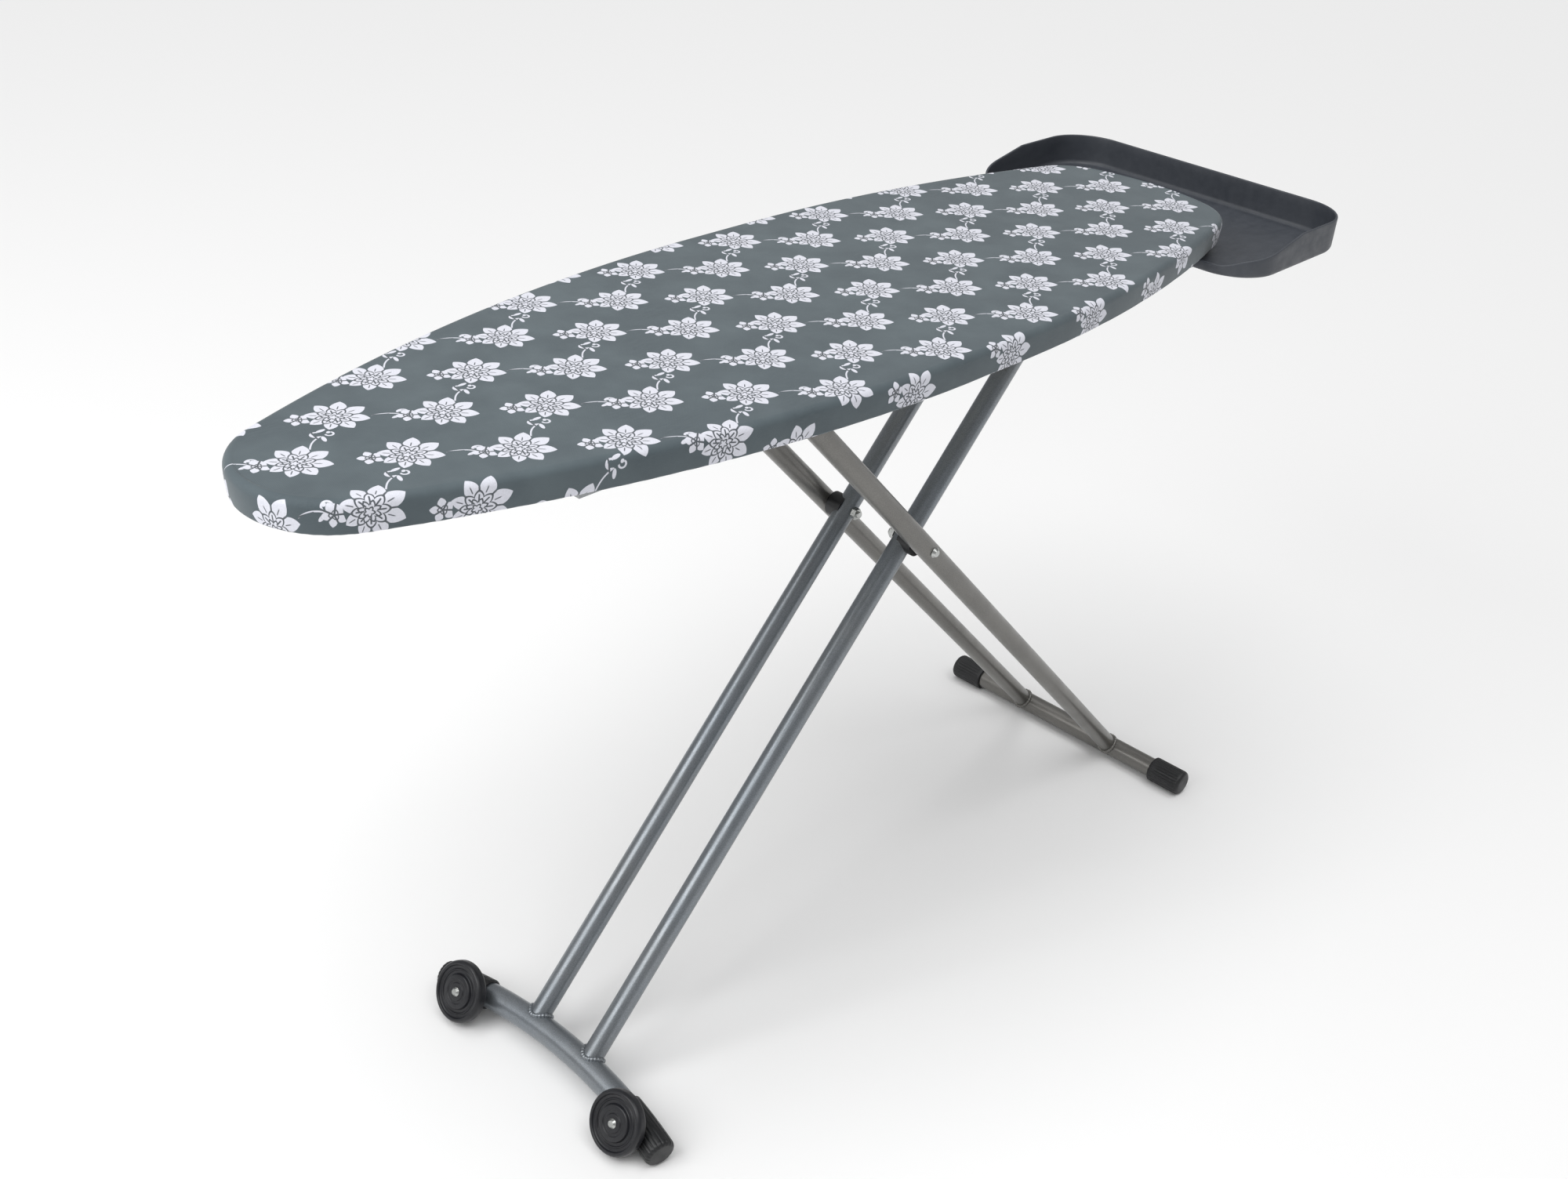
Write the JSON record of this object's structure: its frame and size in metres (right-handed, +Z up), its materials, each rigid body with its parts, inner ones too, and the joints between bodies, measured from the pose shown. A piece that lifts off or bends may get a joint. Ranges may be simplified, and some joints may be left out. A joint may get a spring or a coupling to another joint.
{
  "type": "ironing board",
  "caption": "Height-adjustable folding ironing board with a padded cover, crossed tube legs, small castors and a tray for the iron.",
  "frame": {"origin": "floor level, under the middle of the whole object with its iron tray", "axes": "+X from the nose to the tail, +Y across the board to the side with the release lever, +Z up"},
  "size_m": [1.43, 0.42, 0.855],
  "materials": {
    "cover_fabric": "grey-green cotton with a printed white flower and vine pattern",
    "elastic": "braided elastic",
    "felt": "needled felt",
    "mesh_steel": "expanded steel, silver powder coat",
    "frame_paint": "silver powder coat",
    "wheel_leg_paint": "blue-grey metallic powder coat",
    "foot_leg_paint": "warm grey metallic powder coat",
    "zinc_steel": "bright zinc plate",
    "spring_steel": "oiled spring steel",
    "lever_steel": "dark grey powder coat",
    "black_plastic": "moulded black polypropylene",
    "wheel_plastic": "moulded black polypropylene",
    "tray_plastic": "moulded dark grey plastic",
    "nylon": "natural nylon"
  },
  "bodies": {
    "board": {"cover": "cover_fabric", "hem_elastic": "elastic", "pad": "felt", "top_mesh": "mesh_steel", "rim_nose": "frame_paint", "rim_side_near": "frame_paint", "rim_side_far": "frame_paint", "rim_tail": "frame_paint", "brace_nose": "frame_paint", "brace_front": "frame_paint", "brace_mid": "frame_paint", "brace_waist": "frame_paint", "brace_hinge": "frame_paint", "brace_end": "frame_paint", "slide_rail_near": "frame_paint", "slide_rail_far": "frame_paint", "height_rack_near": "zinc_steel", "height_rack_far": "zinc_steel", "hinge_bracket_near": "frame_paint", "hinge_bracket_far": "frame_paint", "hinge_rod": "zinc_steel", "lever_bracket": "frame_paint", "lever_pin": "zinc_steel", "lever_spring": "spring_steel", "iron_tray": "tray_plastic", "tray_arm_near": "frame_paint", "tray_arm_far": "frame_paint", "tray_screws": "zinc_steel"},
    "wheel_legs": {"wheel_leg_near": "wheel_leg_paint", "wheel_leg_far": "wheel_leg_paint", "hinge_knuckle": "wheel_leg_paint", "wheel_bar": "wheel_leg_paint", "sleeve_near": "black_plastic", "sleeve_far": "black_plastic", "axle_near": "zinc_steel", "axle_far": "zinc_steel", "spacer_near": "black_plastic", "spacer_far": "black_plastic", "pivot_bolt_near": "zinc_steel", "pivot_bolt_far": "zinc_steel", "pivot_nuts": "zinc_steel"},
    "foot_legs": {"foot_leg_near": "foot_leg_paint", "foot_leg_far": "foot_leg_paint", "foot_bar": "foot_leg_paint", "foot_cap_near": "black_plastic", "foot_cap_far": "black_plastic", "slide_rod": "zinc_steel", "slide_shoe_near": "nylon", "slide_shoe_far": "nylon"},
    "wheel_near": {"wheel_near": "wheel_plastic"},
    "wheel_far": {"wheel_far": "wheel_plastic"},
    "release_lever": {"lever_arm": "lever_steel", "lever_grip": "black_plastic"}
  },
  "joints": [
    {"name": "leg_fold", "type": "hinge", "parent": "board", "child": "wheel_legs", "pos_m": [0.3435, 0, 0.8157], "axis": [0, 1, 0], "range_deg": [-3, 43.2]},
    {"name": "leg_cross", "type": "hinge", "parent": "wheel_legs", "child": "foot_legs", "pos_m": [0.08871, 0, 0.54055], "axis": [0, 1, 0], "range_deg": [-86.4, 6]},
    {"name": "wheel_near_spin", "type": "hinge", "parent": "wheel_legs", "child": "wheel_near", "pos_m": [-0.41935, -0.135, 0.03909], "axis": [-0.8829, 0, 0.4695], "continuous": true},
    {"name": "wheel_far_spin", "type": "hinge", "parent": "wheel_legs", "child": "wheel_far", "pos_m": [-0.41935, 0.135, 0.03909], "axis": [-0.8829, 0, 0.4695], "continuous": true},
    {"name": "lever_squeeze", "type": "hinge", "parent": "board", "child": "release_lever", "pos_m": [-0.11908, 0.072, 0.8347], "axis": [1, 0, 0], "range_deg": [0, 5], "stiffness_Nm_per_rad": 2, "springref_deg": -8.59}
  ],
  "couplings": [
    {"joint": "leg_cross", "follows": "leg_fold", "ratio": -2}
  ]
}
